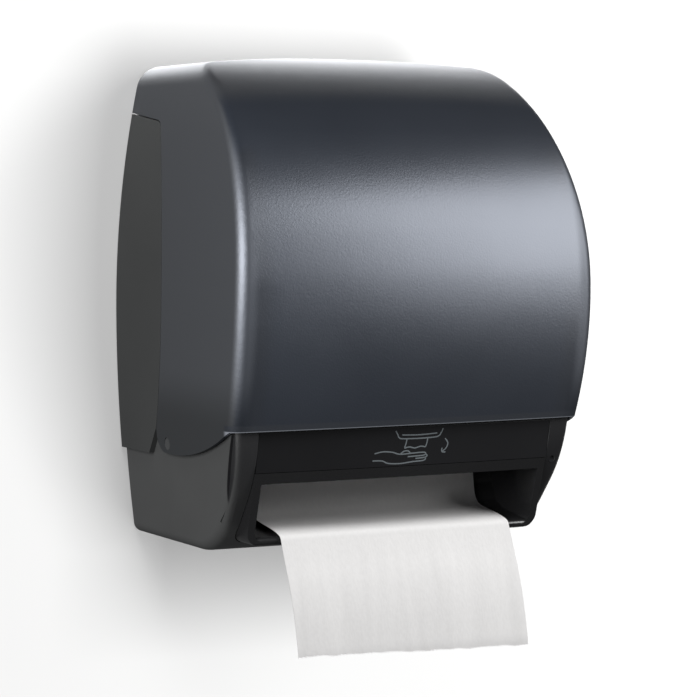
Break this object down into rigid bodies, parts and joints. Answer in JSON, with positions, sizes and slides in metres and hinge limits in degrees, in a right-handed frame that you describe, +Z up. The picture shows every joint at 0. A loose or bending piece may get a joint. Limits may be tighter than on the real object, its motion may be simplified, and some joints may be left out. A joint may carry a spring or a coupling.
{
  "type": "automatic roll towel dispenser",
  "caption": "Wall-hung towel dispenser with a domed smoke-tinted cover on a low hinge, motor-fed rollers and a tear bar; a length of paper towel hangs from the outlet.",
  "frame": {"origin": "centre of the four wall screws, on the wall face of the back plate", "axes": "+X to the right seen from the front, -Y out of the front towards the user, +Y into the wall, +Z up"},
  "size_m": [0.3124, 0.236, 0.4594],
  "materials": {
    "grey_shell": "fine satin moulding",
    "smoke_cover": "smoke tinted, satin sheen",
    "black_gloss": "gloss",
    "black_matte": "matte",
    "lock_metal": "turned",
    "steel": "bright",
    "motor_steel": "drawn can",
    "roller_rubber": "ground rubber",
    "gear_white": "natural acetal",
    "button_grey": "satin",
    "board_green": "solder mask",
    "component_black": "moulded",
    "lens": "clear dark lens",
    "cell_sleeve": "shrunk sleeve",
    "towel_paper": "creped white paper",
    "core_card": "wound board"
  },
  "bodies": {
    "housing": {"rear_housing": "grey_shell", "side_panel_left": "grey_shell", "side_panel_right": "grey_shell", "hinge_pins": "grey_shell", "lock_keeper": "steel", "outlet_frame": "black_gloss", "front_fascia": "black_gloss", "indicator_lens": "lens", "mechanism_plate_left": "black_matte", "mechanism_plate_right": "black_matte", "mechanism_lid": "black_matte", "circuit_board": "board_green", "board_components": "component_black", "board_posts": "black_matte", "feed_bearings": "gear_white", "idler_stud": "steel", "gearbox": "black_matte", "drive_motor": "motor_steel", "pinch_pivots": "steel", "tear_bar": "steel", "towel_sensor": "component_black", "battery_tray": "black_matte", "battery_cells": "cell_sleeve", "battery_contacts": "steel", "battery_lid_pin": "steel", "roll_arm_left": "grey_shell", "roll_hub_left": "gear_white", "arm_bracket": "steel", "arm_pin": "steel", "towel_web": "towel_paper", "towel_tail": "towel_paper", "cover_switch": "component_black", "lid_screws": "steel", "arm_screws": "steel"},
    "cover": {"front_cover": "smoke_cover", "lock_barrel": "lock_metal"},
    "lock": {"lock_plug": "lock_metal", "lock_cam": "steel"},
    "feed_roller": {"feed_shaft": "steel", "feed_roller_core": "black_matte", "feed_tyres": "roller_rubber", "drive_gear": "gear_white"},
    "idler": {"idler_gear": "gear_white"},
    "motor_drive": {"motor_pinion": "gear_white", "motor_shaft": "steel"},
    "pinch_arm": {"pinch_carrier": "black_matte", "pinch_springs": "steel"},
    "pinch_roller": {"pinch_shaft": "steel", "pinch_tyres": "roller_rubber"},
    "swing_arm": {"roll_arm_right": "grey_shell", "roll_hub_right": "gear_white"},
    "roll": {"towel_roll": "towel_paper", "roll_core": "core_card"},
    "tray_lid": {"battery_lid": "black_matte"},
    "button": {"feed_button": "button_grey"},
    "selector": {"length_selector": "button_grey"},
    "plunger": {"switch_plunger": "button_grey"}
  },
  "joints": [
    {"name": "cover_hinge", "type": "hinge", "parent": "housing", "child": "cover", "pos_m": [0, -0.093, -0.119], "axis": [1, 0, 0], "range_deg": [0, 100], "deforming": ["towel_tail"]},
    {"name": "lock_turn", "type": "hinge", "parent": "cover", "child": "lock", "pos_m": [0, -0.032, 0.18], "axis": [0, 0, -1], "range_deg": [0, 90]},
    {"name": "roll_spin", "type": "hinge", "parent": "housing", "child": "roll", "pos_m": [0, -0.118, 0.06], "axis": [1, 0, 0], "continuous": true},
    {"name": "feed_spin", "type": "hinge", "parent": "housing", "child": "feed_roller", "pos_m": [0, -0.112, -0.12], "axis": [1, 0, 0], "continuous": true},
    {"name": "idler_spin", "type": "hinge", "parent": "housing", "child": "idler", "pos_m": [0, -0.07911, -0.13197], "axis": [1, 0, 0], "continuous": true},
    {"name": "motor_spin", "type": "hinge", "parent": "housing", "child": "motor_drive", "pos_m": [0, -0.07564, -0.15167], "axis": [1, 0, 0], "continuous": true},
    {"name": "pinch_swing", "type": "hinge", "parent": "housing", "child": "pinch_arm", "pos_m": [0, -0.146, -0.092], "axis": [-1, 0, 0], "range_deg": [0, 8], "stiffness_Nm_per_rad": 0.2, "springref_deg": -28.65},
    {"name": "pinch_spin", "type": "hinge", "parent": "pinch_arm", "child": "pinch_roller", "pos_m": [0, -0.13948, -0.11515], "axis": [1, 0, 0], "continuous": true},
    {"name": "arm_swing", "type": "hinge", "parent": "housing", "child": "swing_arm", "pos_m": [0.11075, -0.01, 0.06], "axis": [0, 0, 1], "range_deg": [0, 9]},
    {"name": "battery_lid_swing", "type": "hinge", "parent": "housing", "child": "tray_lid", "pos_m": [0, -0.0064, -0.1551], "axis": [-1, 0, 0], "range_deg": [0, 80]},
    {"name": "button_press", "type": "slide", "parent": "housing", "child": "button", "axis": [0, 0, -1], "range_m": [0, 0.0015], "stiffness_N_per_m": 400, "springref_m": -0.001},
    {"name": "selector_slide", "type": "slide", "parent": "housing", "child": "selector", "axis": [1, 0, 0], "range_m": [0, 0.006]},
    {"name": "plunger_press", "type": "slide", "parent": "housing", "child": "plunger", "axis": [0, 0, -1], "range_m": [0, 0.0025], "stiffness_N_per_m": 400, "springref_m": -0.001}
  ],
  "couplings": [
    {"joint": "feed_spin", "follows": "roll_spin", "ratio": 5.5},
    {"joint": "idler_spin", "follows": "roll_spin", "ratio": -9.9},
    {"joint": "motor_spin", "follows": "roll_spin", "ratio": 16.5},
    {"joint": "pinch_spin", "follows": "roll_spin", "ratio": -8}
  ]
}
